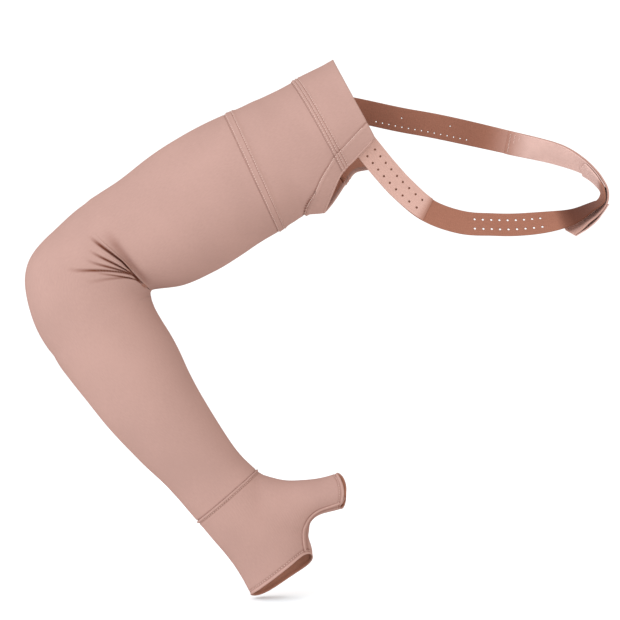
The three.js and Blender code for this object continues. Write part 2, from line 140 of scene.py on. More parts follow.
# Creases that fan out from the elbow's crook. root and tip are stations near the crook and at the far end.
# start and reach are degrees of the ring from the crook, between which the crease swings from one to the
# other. depth pushes the cloth in, or out where it is negative, and breadth is in stations.
FRONT_CREASES = [
    (287.4, 281.8, 70, 108, 3.8, 1.05),
    (290.4, 284.8, 66, 112, -2.3, 0.9),
    (297.0, 293.0, 40, 104, 2.6, 4.6),
    (284.5, 273.5, 55, 98, 2.9, 1.0),
    (287.0, 277.5, 55, 98, -1.5, 1.1),
    (284.0, 265.5, 52, 93, 2.5, 1.1),
    (284.5, 271.0, 50, 88, -0.9, 1.0),
    (284.5, 253.5, 50, 102, 2.3, 1.2),
    (281.5, 258.5, 42, 80, 1.9, 1.1),
    (283.0, 277.0, 30, 62, -1.6, 1.4),
    (280.5, 247.0, 46, 84, 0.9, 1.8),
]
BACK_CREASES = [
    (287.4, 283.5, 66, 100, 4.2, 1.5),
    (291.0, 287.5, 66, 104, -1.8, 1.6),
    (297.0, 295.0, 38, 92, 2.3, 5.0),
    (284.5, 276.0, 56, 90, 2.4, 1.5),
    (284.0, 268.0, 50, 101, 2.8, 1.4),
    (284.0, 256.5, 48, 86, 2.0, 1.7),
    (282.0, 249.0, 44, 96, 1.5, 2.0),
]

# Strap: points of the tape's middle line and roll, which turns it about its run; at 0 its inner face looks
# to the front, at 90 its width runs front to back.
LOOP = [
    (-20, 47.4, 13, 17),
    (2, 51.5, 9, 8),
    (37, 48, 1, 4),
    (74, 42, -6.5, 10),
    (139, 30, -22.5, 28),
    (189, 18, -36, 45),
    (211, 10, -47.5, 70),
    (225, 4, -61, 86),
    (230, 0, -72, 92),
    (227, -2, -84, 80),
    (214, -3, -91, 70),
    (197, -4, -97.5, 52),
    (171.5, -6, -102, 32),
    (145.5, -8, -104.5, 25),
    (121, -10, -104.5, 25),
    (91.5, -13, -102.5, 21),
    (60, -17, -91.5, 18),
    (36, -21, -72, 5),
    (19, -28.5, -54.5, 0),
    (4, -38, -37.5, 0),
    (-7, -46, -25, 0),
]
TAIL = [(219, -2, -93.5, 77), (210, -3, -100.5, 75), (203, -4, -106, 71), (195, -5, -111, 66)]
OVERLAP_FROM = 5  # row of LOOP near which the front tape ends, on the back tape
OVERLAP_TO = 9  # row of LOOP after which the back tape's free end parts from the front tape


def rise(value, start, end):
    """0 up to start, 1 from end on, and a smooth step between."""
    share = min(max((value - start) / (end - start), 0), 1)
    return share * share * (3 - 2 * share)


def bump(distance, breadth):
    return math.exp(-((distance / breadth) ** 2))


def mix(a, b, share):
    return a + (b - a) * share


def spread(*runs):
    """Stations from runs of (from, to, step)."""
    found = set()
    for start, end, step in runs:
        count = max(1, round((end - start) / step))
        found |= {round(mix(start, end, i / count), 3) for i in range(count + 1)}
    return sorted(found)


class SmoothTable:
    """Named columns as smooth functions of the first; the slope at a row is that between its neighbours."""

    def __init__(self, columns, rows):
        self.row = namedtuple("Row", columns)
        self.stops = [row[0] for row in rows]
        self.columns = list(zip(*rows))[1:]
        self.slopes = [self.slopes_of(values) for values in self.columns]

    def slopes_of(self, values):
        at = self.stops
        inner = [(values[i + 1] - values[i - 1]) / (at[i + 1] - at[i - 1]) for i in range(1, len(at) - 1)]
        first = 1.5 * (values[1] - values[0]) / (at[1] - at[0]) - 0.5 * inner[0]
        last = 1.5 * (values[-1] - values[-2]) / (at[-1] - at[-2]) - 0.5 * inner[-1]
        return [first, *inner, last]

    def __call__(self, at):
        i = min(max(bisect_right(self.stops, at) - 1, 0), len(self.stops) - 2)
        step = self.stops[i + 1] - self.stops[i]
        t = (at - self.stops[i]) / step
        weights = (
            (1 + 2 * t) * (1 - t) ** 2,
            t * (1 - t) ** 2 * step,
            t * t * (3 - 2 * t),
            t * t * (t - 1) * step,
        )
        found = []
        for values, slopes in zip(self.columns, self.slopes):
            terms = (values[i], slopes[i], values[i + 1], slopes[i + 1])
            found.append(sum(weight * term for weight, term in zip(weights, terms)))
        return self.row(at, *found)


SECTION = "at x z tilt width depth"
sleeve_section = lru_cache(None)(SmoothTable(SECTION, SLEEVE))
palm_section = lru_cache(None)(SmoothTable(SECTION, PALM))
thumb_section = lru_cache(None)(SmoothTable(SECTION, THUMB))
# Past the notch the edges open with the square root of the way, so the notch's bottom is round.
armhole = SmoothTable("way front back", [(math.sqrt(at - NOTCH), front, back) for at, front, back in ARMHOLE])


def heading(degrees):
    return Vector((math.cos(math.radians(degrees)), 0, math.sin(math.radians(degrees))))


def ring_point(section, angle, lift=0.0):
    """The point of a section's ellipse at an angle from its far end, moved out by a lift."""
    turn = math.radians(angle)
    half = section.width / 2
    across = half + (half + lift) * math.cos(turn)
    point = Vector((section.x, 0, section.z)) + heading(section.tilt) * across
    point.y = -(section.depth / 2 + lift) * math.sin(turn)
    return point


def ring_normal(section, angle):
    turn = math.radians(angle)
    normal = heading(section.tilt) * (math.cos(turn) / section.width)
    normal.y = -math.sin(turn) / section.depth
    return normal.normalized()


def girth(section):
    """The way round a section's ellipse."""
    a, b = section.width / 2, section.depth / 2
    return math.pi * (3 * (a + b) - math.sqrt((3 * a + b) * (a + 3 * b)))


@lru_cache(None)
def cover(at):
    """Degrees of the ring that the cloth covers at a station, front and back."""
    if at <= NOTCH:
        return 180.0, 180.0
    found = armhole(math.sqrt(at - NOTCH))
    return found.front, found.back


def cut_back(at, angle):
    """The section where the cloth meant for a station lies: the neck edge is cut back along the front."""
    way = max(0, (at - NECK_CUT_FROM) / (NECK_EDGE - NECK_CUT_FROM))
    front = max(0, math.sin(math.radians(angle))) if abs(angle) < 90 else angle > 0
    return sleeve_section(at - NECK_CUT * way * front)


def unevenness(point):
    """The small waves of cloth that nothing stretches quite evenly."""
    return 0.45 * noise.noise(point / 52) + 0.12 * noise.noise(point / 17)


# ---- Meshes ----------------------------------


def grid_mesh(columns, rows, place, flat, fold=None):
    """A grid of cloth. place(share, row) is a point's place and flat(share, row) its place on the flat cut,
    which is kept as the UV map. fold(share, row) is how much painted shade darkens it, from 0 to 1."""
    bm = bmesh.new()
    bmesh.ops.create_grid(bm, x_segments=columns, y_segments=rows, size=0.5)
    cut = bm.loops.layers.uv.new("cut")
    depth = bm.verts.layers.float.new("fold")
    spots = {vert: (vert.co.x + 0.5, round((vert.co.y + 0.5) * rows)) for vert in bm.verts}
    if fold:
        for vert in bm.verts:
            vert[depth] = min(fold(*spots[vert]), 1)
    for face in bm.faces:
        for loop in face.loops:
            loop[cut].uv = [MM * way for way in flat(*spots[loop.vert])]
    for vert in bm.verts:
        vert.co = place(*spots[vert]) * MM
    bmesh.ops.remove_doubles(bm, verts=bm.verts, dist=1e-6)
    return bm


def add_piece(name, bm, materials, nodes=()):
    """Makes a finished mesh a piece of the garment, which stands for the frame's nodes named."""
    mesh = bpy.data.meshes.new(name)
    bm.to_mesh(mesh)
    bm.free()
    mesh.shade_smooth()
    for finish in materials:
        mesh.materials.append(finish)
    made = bpy.data.objects.new(name, mesh)
    bpy.context.scene.collection.objects.link(made)
    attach(made, BODY)
    if nodes:
        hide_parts(*nodes)
    return made


def give_wall(made, thickness, offset=-1.0):
    """Gives a sheet its thickness. Its inner side takes the next material."""
    wall = made.modifiers.new("Wall", "SOLIDIFY")
    wall.thickness = thickness * MM
    wall.offset = offset
    wall.use_quality_normals = True
    wall.material_offset = 1
    wall.material_offset_rim = 0


def soften(made):
    """Rounds a piece's edges and holes."""
    smooth = made.modifiers.new("Soft edges", "SUBSURF")
    smooth.levels = smooth.render_levels = 1


def add_stitch(bm, start, end, normal, radius):
    """One stitch: a slim rounded grain of thread from start to end, half sunk in the cloth."""
    along = (end - start).normalized()
    out = (normal - along * normal.dot(along)).normalized()
    turn = Matrix((out, along.cross(out), along)).transposed().to_4x4()
    size = Matrix.Diagonal((radius * 0.8, radius, (end - start).length * 0.5, 1))
    place = Matrix.Translation((start + end) / 2 + out * radius * 0.4)
    bmesh.ops.create_uvsphere(bm, u_segments=6, v_segments=4, radius=1, matrix=place @ turn @ size)


def add_stitch_row(bm, spots, radius, fill, zigzag=0.0):
    """Stitches between the spots, each a point and its normal. fill is the share of the way that thread
    covers, and zigzag moves every other end sideways."""
    ends = []
    for i, (point, normal) in enumerate(spots):
        ahead = spots[min(i + 1, len(spots) - 1)][0] - spots[max(i - 1, 0)][0]
        side = ahead.cross(normal).normalized() * zigzag * (1 if i % 2 else -1)
        ends.append((point + side, normal))
    for (start, normal), (end, _) in zip(ends, ends[1:]):
        spare = (end - start) * (1 - fill) / 2
        add_stitch(bm, (start + spare) * MM, (end - spare) * MM, normal, radius * MM)


# ---- Materials -------------------------------


class Wire:
    """An output of a shader node that takes part in sums."""

    def __init__(self, shade, socket):
        self.shade = shade
        self.socket = socket

    def math(self, operation, first, second):
        return self.shade.add("Math", {"operation": operation}, {0: first, 1: second})

    def __add__(self, other):
        return self.math("ADD", self, other)

    def __mul__(self, other):
        return self.math("MULTIPLY", self, other)

    __radd__ = __add__
    __rmul__ = __mul__


class Shade:
    """A material's node tree."""

    def __init__(self, name):
        self.material = bpy.data.materials.new(name)
        self.material.use_nodes = True
        self.tree = self.material.node_tree
        self.tree.nodes.clear()

    def add(self, kind, settings=None, values=None, output=0):
        """Adds a node, makes its settings, sets or links its sockets and gives one of its outputs."""
        node = self.tree.nodes.new("ShaderNode" + kind)
        for name, value in (settings or {}).items():
            setattr(node, name, value)
        for key, value in (values or {}).items():
            if isinstance(value, Wire):
                self.tree.links.new(value.socket, node.inputs[key])
            else:
                node.inputs[key].default_value = value
        return Wire(self, node.outputs[output])

    def ramp(self, value, low, high):
        """0 where value is under low, 1 where it is over high."""
        limits = {"From Min": low, "From Max": high}
        return self.add("MapRange", {"interpolation_type": "SMOOTHSTEP"}, {"Value": value, **limits})

    def blend(self, share, first, second):
        """A colour between two, given as four numbers or a wire."""
        return self.add("Mix", {"data_type": "RGBA"}, {0: share, 6: first, 7: second}, output=2)

    def grain(self, place, scale, detail=2.0, roughness=0.5):
        values = {"Vector": place, "Scale": scale, "Detail": detail, "Roughness": roughness}
        return self.add("TexNoise", None, values)

    def bands(self, place, direction, pitch):
        """Even bands, a pitch apart; at scale 1 the node's own are a twentieth of a turn apart."""
        values = {"Vector": place, "Scale": math.tau / 20 / pitch}
        return self.add("TexWave", {"bands_direction": direction}, values)

    def height_of(self, height, distance, strength=0.5):
        return self.add("Bump", None, {"Height": height, "Distance": distance, "Strength": strength})

    def finish(self, colour, normal, roughness, sheen=0.0):
        values = {
            "Base Color": colour,
            "Roughness": roughness,
            "Normal": normal,
            "Specular IOR Level": 0.0,
            "Sheen Weight": sheen,
            "Sheen Roughness": 0.5,
        }
        self.add_output(self.add("BsdfPrincipled", None, values))
        return self.material

    def marked(self, name, base, colour):
        """The base, blended to a colour where the mesh's mark of this name is set."""
        mark = self.add("Attribute", {"attribute_name": name}, output=2)
        return self.blend(mark, base, (*colour, 1))

    def add_output(self, shader):
        node = self.tree.nodes.new("ShaderNodeOutputMaterial")
        self.tree.links.new(shader.socket, node.inputs["Surface"])


def scaled(colour, factor):
    return tuple(min(1, part * factor) for part in colour) + (1,)


def knit_material(name, colour, deep, lining):
    """Flat-knit elastic cloth: fine wales along the arm, finer courses across, and a slight melange."""
    shade = Shade(name)
    place = shade.add("TexCoord", output=3)
    cut = shade.add("UVMap", {"uv_map": "cut"})
    stretched = shade.add("Mapping", None, {"Vector": cut, "Scale": (1 / 1.1e-3, 1 / 4e-3, 1)})
    wale = shade.bands(cut, "X", 2.566e-3)
    flecks = shade.grain(stretched, 1.0, 3.0, 0.6)
    patches = shade.grain(place, 14.0, 2.0)
    fine = shade.grain(place, 900.0, 2.0)
    tone = shade.ramp(patches * 0.6 + flecks * 0.4, 0.3, 0.7)
    base = shade.blend(tone, scaled(colour, 0.93), scaled(colour, 1.06))
    # The fold mark is painted shade: the knit blends towards deep in creases and stitched grooves.
    base = shade.marked("fold", shade.marked("lining", base, lining), deep)
    return shade.finish(base, shade.height_of(wale * 0.5 + flecks * 0.6 + fine * 0.4, 0.00012), 0.92)


def pile_material(name, colour, deep):
    """The brushed side of a knit or of a soft patch: a short, dense, uneven nap."""
    shade = Shade(name)
    place = shade.add("TexCoord", output=3)
    nap = shade.grain(place, 1400.0, 3.0, 0.65)
    worn = shade.grain(place, 45.0, 2.0)
    tone = shade.ramp(nap * 0.5 + worn * 0.5, 0.32, 0.68)
    # The fold mark is painted shade on the knit's inside; on the patch it fades to the tape's colour at its
    # start.
    base = shade.marked("fold", shade.blend(tone, scaled(colour, 0.9), scaled(colour, 1.08)), deep)
    return shade.finish(base, shade.height_of(nap, 0.00025), 0.95, 0.06)


def tape_material(name, colour, pale, deep):
    """Woven elastic tape: fine ribs across its width and a firm, slightly streaky face."""
    shade = Shade(name)
    place = shade.add("TexCoord", output=3)
    cut = shade.add("UVMap", {"uv_map": "cut"})
    rib = shade.bands(cut, "Y", 1.7765e-3)
    lengthways = shade.add("Mapping", None, {"Vector": cut, "Scale": (1 / 0.7e-3, 1 / 9e-3, 1)})
    streak = shade.grain(lengthways, 1.0, 2.0)
    fine = shade.grain(place, 1100.0, 2.0)
    tone = shade.ramp(streak * 0.6 + fine * 0.4, 0.3, 0.7)
    base = shade.blend(tone, scaled(colour, 0.92), scaled(colour, 1.06))
    # The fold mark is painted shade; the pale mark is painted light on the front tape up to its turn and
    # lightens the back tape towards its patch.
    base = shade.marked("fold", shade.marked("pale", base, pale), deep)
    return shade.finish(base, shade.height_of(rib * 0.6 + streak * 0.5 + fine * 0.4, 0.0001), 0.85, 0.08)


def thread_material(name, colour):
    shade = Shade(name)
    place = shade.add("TexCoord", output=3)
    twist = shade.grain(place, 2500.0, 2.0)
    base = shade.blend(shade.ramp(twist, 0.3, 0.7), scaled(colour, 0.9), scaled(colour, 1.08))
    return shade.finish(base, shade.height_of(twist, 0.0001, 0.4), 0.7, 0.2)


def stage_material(name, value, glow):
    shade = Shade(name)
    values = {"Base Color": (value,) * 3 + (1,), "Roughness": 1.0}
    values |= {"Emission Color": (1, 1, 1, 1), "Emission Strength": glow}
    shade.add_output(shade.add("BsdfPrincipled", None, values))
    return shade.material


@lru_cache(None)
def material(kind):
    """Each of the garment's finishes, made once."""
    colours = bpy.context.scene.sleeve_colours
    hem, shadow = scaled(colours.knit, 1.08)[:3], scaled(colours.fold, 0.62)[:3]
    maker, *values = {
        "knit": (knit_material, colours.knit, colours.fold, colours.inside),
        "knit_hem": (knit_material, hem, colours.fold, colours.lining),
        "knit_inside": (pile_material, colours.inside, colours.fold),
        "tape": (tape_material, colours.tape, colours.patch, shadow),
        "facing": (tape_material, colours.facing, colours.patch, colours.tape),
        "patch": (pile_material, colours.patch, colours.tape),
        "thread": (thread_material, colours.thread),
    }[kind]
    return maker(kind, *values)


# ---- Settings --------------------------------


def length_property(name, description, default):
    return FloatProperty(name=name, description=description, default=default * MM, min=0, unit="LENGTH")


def colour_property(name, description, default):
    return FloatVectorProperty(
        name=name, description=description, default=default, size=3, min=0, max=1, subtype="COLOR"
    )


class SleeveSizes(bpy.types.PropertyGroup):
    wall: length_property("Wall", "Thickness of the knit", 1.4)
    roll: length_property("Rolled hem", "Thickness of the rolled hems of the gauntlet", 2.6)
    thread: length_property("Thread", "Thickness of the sewing thread", 0.55)
    stitch: length_property("Stitch", "Length of one stitch", 2.4)


class StrapSizes(bpy.types.PropertyGroup):
    width: length_property("Width", "Width of the strap's tape", 24)
    tape: length_property("Tape", "Thickness of the tape", 1.6)
    patch: length_property("Patch", "Thickness of the layers on the tape", 1.0)
    gap: length_property("Gap", "Clearance between layers", 0.3)
    hole: length_property("Hole", "Width of the holes in the strap", 2.1)


class SleeveColours(bpy.types.PropertyGroup):
    knit: colour_property("Knit", "Outside of the knit", (0.366, 0.219, 0.182))
    # fold is painted shade: the colour the knit takes in creases and stitched grooves.
    fold: colour_property("Folds", "Knit in the depth of folds and stitched grooves", (0.15, 0.05, 0.03))
    inside: colour_property("Inside", "Brushed inside of the knit", (0.4, 0.178, 0.118))
    lining: colour_property("Turned hem", "Inner face of the armhole's hem", (0.46, 0.215, 0.15))
    tape: colour_property("Tape", "Inner face of the strap's tape", (0.27, 0.112, 0.073))
    facing: colour_property("Facing", "Light faces of the strap", (0.48, 0.288, 0.236))
    patch: colour_property("Patch", "Soft patch of the fastening", (0.53, 0.335, 0.285))
    thread: colour_property("Thread", "Sewing thread", (0.6, 0.41, 0.345))


def in_mm(group):
    """A group's lengths in millimetres."""
    return SimpleNamespace(**{name: getattr(group, name) / MM for name in type(group).__annotations__})


class StudioSettings(bpy.types.PropertyGroup):
    distance: length_property("Distance", "Camera to the arm", 1600)
    lens: FloatProperty(name="Lens", description="Focal length in millimetres", default=97.8, min=20)
    sky: FloatProperty(name="Sky", description="Strength of the white surroundings", default=1.12, min=0)
    key: FloatProperty(name="Key", description="Power of the soft light at the left", default=84, min=0)
    fill: FloatProperty(name="Fill", description="Power of the soft light at the right", default=9, min=0)


# ---- Sleeve ----------------------------------


@lru_cache(None)
def creases(at, angle):
    """How far the elbow's creases push the cloth in, and how much painted shade darkens it in them, from 0 to
    1.
    """
    if not ELBOW[0] < at < ELBOW[1]:
        return 0.0, 0.0
    from_crook = 180 - abs(angle)
    pushed = painted_shade = 0.0
    for root, tip, start, reach, depth, breadth in FRONT_CREASES if angle > 0 else BACK_CREASES:
        share = min(max((from_crook - start) / (reach - start), 0), 1)
        middle = mix(root, tip, 1 - (1 - share) ** 1.6)
        grown = 1.0 if depth > 3 else rise(from_crook, start - 22, start + 8)
        strength = grown * (1 - rise(from_crook, reach - 32, reach + 8)) * rise(from_crook, 5, 22)
        pushed += depth * strength * bump(at - middle, breadth)
        # Painted shade: the cloth in a crease's trough is coloured darker, strongest in the narrow creases.
        if depth > 0:
            sharpness, width = (1.3, 1.2) if breadth < 3 else (0.4, 0.9)
            near = sharpness * bump(at - middle, breadth * width)
            painted_shade += min(depth * strength / 1.6, 1) * min(near, 1)
    return pushed, painted_shade


LAP_DIP = 1.9  # how far cloth dips under a piece that is lapped over it


def arm_relief(at, angle):
    """The arm tube dips under the pieces lapped over its two ends, and creases at the elbow."""
    dip = LAP_DIP * rise(at, ARM_LAP - 0.6, ARM_LAP + 1.6) + LAP_DIP * (1 - rise(at, -0.4, WRIST_EDGE + 0.8))
    return unevenness(ring_point(sleeve_section(at), angle)) - creases(at, angle)[0] - dip


# Painted shade in the elbow's creases.
def arm_painted_shade(at, angle):
    return creases(at, angle)[1]


def seam_profile(at, edge, rows, height, fall):
    """A lapped panel's outside across its seam: its turned edge comes out of the cloth below, and beside the
    groove under each row of stitches the cloth is pinched up a little."""
    lift = height * (1 - rise(at, rows[-1] + 0.5, rows[-1] + fall)) - 1.5 * (1 - rise(at, edge, edge + 1.3))
    return lift + sum(0.3 * bump(at - row - 1.1, 0.7) - 0.6 * bump(at - row, 0.6) for row in rows)


@lru_cache(None)
def armhole_edge():
    """The armhole's edge laid flat, from back corner to front corner: (station, way round from the crook)."""
    points = []
    for i in range(-40, 41):
        turn = i / 40
        at = NOTCH + turn * turn * (NECK_EDGE - NOTCH)
        front, back = cover(at)
        around = math.radians(180 - (front if turn > 0 else back)) * girth(sleeve_section(at)) / math.tau
        points.append(Vector((at, math.copysign(around, turn), 0)))
    return points


def from_armhole(at, angle):
    """How far a spot of the cloth lies from the armhole's edge, measured on the flat cut."""
    around = math.radians(180 - abs(angle)) * girth(sleeve_section(at)) / math.tau
    spot = Vector((at, math.copysign(around, angle), 0))
    nearest = 1e9
    edge = armhole_edge()
    for start, end in zip(edge, edge[1:]):
        run = end - start
        share = min(max((spot - start).dot(run) / run.length_squared, 0), 1)
        nearest = min(nearest, (spot - start - run * share).length)
    return nearest


def angle_from(at, around):
    """The angle of the ring at a way round from the crook."""
    return math.copysign(180, around) - math.degrees(around * math.tau / girth(sleeve_section(at)))


HEM_LINE = 15.6  # distance of the armhole's stitching from its edge
LOW_HEM = (126, 150)  # degrees from the shoulder's top between which the hem's groove deepens
ARM_ROWS = (435.6, 441.4)  # stitch rows of the arm seam
SHOULDER_ROWS = (511.8, 514.8, 517.8)
ARM_LAP = 434  # free edges of the two lapped panels
SHOULDER_LAP = 510.2


def hem_lift(at, angle):
    """The doubled cloth along the armhole stands out a little inside its stitched line."""
    way = from_armhole(at, angle)
    pinch = 0.7 + 0.9 * rise(abs(angle), *LOW_HEM)
    return 0.5 * (1 - rise(way, HEM_LINE - 1, HEM_LINE + 0.6)) + pinch * (
        0.7 * bump(way - HEM_LINE + 1.3, 0.9) - bump(way - HEM_LINE - 0.6, 0.8)
    )


@lru_cache(None)
def seam_painted_shade(at, angle):
    """How much painted shade darkens the cloth in the grooves of its stitch rows."""
    rows = sum(bump(at - row + 0.5, 0.55) for row in (*ARM_ROWS, *SHOULDER_ROWS))
    low = rise(abs(angle), *LOW_HEM)
    return 0.34 * rows + (0.5 + 0.4 * low) * bump(from_armhole(at, angle) - HEM_LINE - 1, 0.6 + 0.3 * low)


@lru_cache(None)
def panel_relief(at, angle):
    lift = seam_profile(at, ARM_LAP, ARM_ROWS, 0.7, 5)
    lift -= LAP_DIP * rise(at, SHOULDER_LAP - 0.6, SHOULDER_LAP + 1.6)
    return lift + hem_lift(at, angle) + unevenness(ring_point(sleeve_section(at), angle))


@lru_cache(None)
def cap_relief(at, angle):
    lift = seam_profile(at, SHOULDER_LAP, SHOULDER_ROWS, 1.3, 30)
    return lift + hem_lift(at, angle) + unevenness(ring_point(sleeve_section(at), angle))


def on_sleeve(relief, at, angle):
    """A spot on a panel: its point and its outward direction."""
    section = cut_back(at, angle)
    return ring_point(section, angle, relief(at, angle)), ring_normal(section, angle)


def sleeve_panel(stations, columns, relief, fold):
    def angle_of(share, at):
        front, back = cover(at)
        return mix(-back, front, share)

    def place(share, row):
        at = stations[row]
        angle = angle_of(share, at)
        return ring_point(cut_back(at, angle), angle, relief(at, angle))

    def flat(share, row):
        at = stations[row]
        return angle_of(share, at) / 360 * girth(sleeve_section(at)), at

    def depth(share, row):
        return fold(stations[row], angle_of(share, stations[row]))

    return grid_mesh(columns, len(stations) - 1, place, flat, depth)


def cut_size(stations):
    """Flat size of a panel from its sections: widest girth, length and area, in metres."""
    def width(at):
        return girth(sleeve_section(at)) * sum(cover(at)) / 360

    pairs = list(zip(stations, stations[1:]))
    area = sum((b - a) * (width(a) + width(b)) / 2 for a, b in pairs)
    return (max(map(width, stations)) * MM, (stations[-1] - stations[0]) * MM), area * MM * MM


class SLEEVE_OT_arm_tube(bpy.types.Operator):
    """Knit the sleeve from the wrist to the upper arm, with the creases of the bent elbow"""

    bl_idname = "sleeve.arm_tube"
    bl_label = "Arm Tube"

    def execute(self, context):
        sizes = in_mm(context.scene.sleeve_sizes)
        ends = (0, 6, 0.6), (431, ARM_SEAM, 0.6)
        stations = spread((6, 236, 2.6), (236, 262, 1), (262, 300, 0.5), (300, 431, 2.6), *ends)
        bm = sleeve_panel(stations, 156, arm_relief, arm_painted_shade)
        faces = [material("knit"), material("knit_inside")]
        tube = add_piece("arm_tube_cloth", bm, faces, ["arm_tube"])
        give_wall(tube, sizes.wall)
        flat, area = cut_size(stations)
        return {"FINISHED"}


class SLEEVE_OT_shoulder(bpy.types.Operator):
    """Add the panel above the arm seam and the cap over the shoulder, with their stitches"""

    bl_idname = "sleeve.shoulder"
    bl_label = "Shoulder"

    def execute(self, context):
        sizes = in_mm(context.scene.sleeve_sizes)
        faces = [material("knit"), material("knit_inside")]
        notch = [NOTCH + (step / 4) ** 2 for step in range(1, 14)]
        lap = spread((ARM_LAP, 444, 0.4), (444, NOTCH, 1.6))
        past = spread((notch[-1], 509, 1.6), (509, SHOULDER_SEAM, 0.5))
        panel_stations = sorted({round(at, 3) for at in [*lap, *notch, *past]})
        cap_stations = spread((SHOULDER_LAP, 521, 0.4), (521, NECK_EDGE, 1.4))
        for node, stations, relief in (
            ("shoulder_panel", panel_stations, panel_relief),
            ("shoulder_cap", cap_stations, cap_relief),
        ):
            bm = sleeve_panel(stations, 190, relief, seam_painted_shade)
            panel = add_piece(node + "_cloth", bm, faces, [node])
            give_wall(panel, sizes.wall)
            threads = self.threads(sizes, node)
            flat, area = cut_size(stations)
        return {"FINISHED"}

    def threads(self, sizes, node):
        """The rows of stitches of a panel's lapped seam, and its zigzag along the armhole."""
        bm = bmesh.new()
        radius, pitch = sizes.thread / 2, sizes.stitch
        panel = node == "shoulder_panel"
        relief = panel_relief if panel else cap_relief
        for at in ARM_ROWS if panel else SHOULDER_ROWS:
            front, back = cover(at)
            count = round(girth(sleeve_section(at)) * (front + back) / 360 / pitch)
            angles = [mix(-back + 0.3, front - 0.3, i / count) for i in range(count + 1)]
            add_stitch_row(bm, [on_sleeve(relief, at, angle) for angle in angles], radius * 1.2, 0.8)
        line = armhole_line(HEM_LINE, pitch * 0.62)
        for on_panel, run in groupby(line, lambda spot: spot[0] < SHOULDER_LAP):
            if on_panel == panel:
                spots = [on_sleeve(relief, at, angle_from(at, around)) for at, around in run]
                add_stitch_row(bm, spots, radius * 1.45, 0.85, 0.6)
        return add_piece(node + "_stitches", bm, [material("thread")])


def armhole_offset(inset):
    """A line that keeps its distance from the armhole's edge, on the flat cut."""
    edge = armhole_edge()
    line = []
    for before, point, after in zip(edge, edge[1:], edge[2:]):
        run = (after - before).normalized()
        line.append(point + Vector((-run.y, run.x, 0)) * inset)
    return line


def armhole_line(inset, pitch):
    """Spots every pitch along a line inside the armhole's edge."""
    line = armhole_offset(inset)
    spots, left = [], 0.0
    for start, end in zip(line, line[1:]):
        run = end - start
        while left < run.length:
            spot = start + run.normalized() * left
            if spot.x < NECK_EDGE - 1:
                spots.append((spot.x, spot.y))
            left += pitch
        left -= run.length
    return spots


HEM_WALL = 0.9
HEM_STEPS = 3  # columns of its mesh between two points of the armhole's edge
# Across the turned-in hem: way in from the armhole's edge, and lift of the face that shows inside
HEM_PROFILE = [
    (15.5, -2.5), (14.5, -2.7), (11, -2.7), (7, -2.7), (3, -2.7), (1.2, -2.65), (0.1, -2.45), (-0.7, -2.0),
    (-1.1, -1.4), (-1.15, -0.8), (-0.85, -0.2), (-0.2, 0.2), (0.6, 0.3), (1.3, 0.15),
]


class SLEEVE_OT_armhole_hem(bpy.types.Operator):
    """Turn in the hem along the armhole, with its rounded fold"""

    bl_idname = "sleeve.armhole_hem"
    bl_label = "Armhole Hem"

    def execute(self, context):
        edge = armhole_edge()
        lines = [armhole_offset(way) for way, lift in HEM_PROFILE]
        columns, rows = len(edge) - 3, len(HEM_PROFILE) - 1
        length = sum((b - a).length for a, b in zip(edge, edge[1:]))

        def place(share, row):
            along = share * columns
            i = min(int(along), columns - 1)
            spot = lines[row][i].lerp(lines[row][i + 1], along - i)
            ended = 1 - rise(NECK_EDGE - spot.x, 0, 9)
            way, lift = HEM_PROFILE[row]
            if way < 0.6:
                inner = lines[-3][i].lerp(lines[-3][i + 1], along - i)
                spot = spot.lerp(inner, ended)
                lift = mix(lift, min(lift, -0.5), ended)
            at = min(spot.x, NECK_EDGE - 0.2)
            angle = angle_from(at, spot.y)
            below = panel_relief(min(at, SHOULDER_LAP - 0.7), angle)
            above = cap_relief(max(at, SHOULDER_LAP + 1.4), angle)
            lift += mix(below, above, rise(at, SHOULDER_LAP - 1.5, SHOULDER_LAP + 3))
            return ring_point(cut_back(at, angle), angle, lift)

        def flat(share, row):
            return HEM_PROFILE[row][0], share * length

        bm = grid_mesh(columns * HEM_STEPS, rows, place, flat)
        lining, cut = bm.verts.layers.float.new("lining"), bm.loops.layers.uv["cut"]
        for vert in bm.verts:
            vert[lining] = float(vert.link_loops[0][cut].uv.x > 1.5 * MM)
        hem = add_piece("armhole_hem_cloth", bm, [material("knit_hem")] * 2, ["armhole_hem"])
        give_wall(hem, HEM_WALL)
        return {"FINISHED"}


# ---- Gauntlet --------------------------------

WALL = 1.4
VOXEL = 1.15  # mesh of palm and thumb, joined
THUMB_ROOT = (-82, -370)  # (x, z) round which the join is smoothed further
THUMB_ABOVE = -388  # height down to which the thumb's mouth shapes the cloth
BACK_RUN = 30  # length before a mouth over which the back of the hand starts to reach further
WRIST_EDGE = 1.5  # how far the gauntlet laps up over the sleeve
HEM_STITCHES = 2.1  # distance of the gauntlet's hem stitches from its edges
HEM_AREA = 12  # length before a mouth within which its stitches can lie
SEAM_RADIUS = 1.15  # of the cord that stands for the crotch's seam
# A mouth's section, the way it faces, how much further its back reaches than its front, the share of that at
# its two ends, how far that favours the crotch side, how far both middles reach past the ends besides, and
# how far the front reaches at the end off the crotch
Mouth = namedtuple("Mouth", "section run back even lean bulge slant")
FINGERS = Mouth(palm_section(84), heading(palm_section(84).tilt + 90), 16, 0.39, 0.08, 0, 4.4)
THUMB_TIP = Mouth(thumb_section(75.5), heading(thumb_section(75.5).tilt - 90), 4.5, 0.35, 0, 4.5, 0)
WRIST = Mouth(palm_section(0), heading(palm_section(0).tilt - 90), 0, 0, 0, 0, 0)
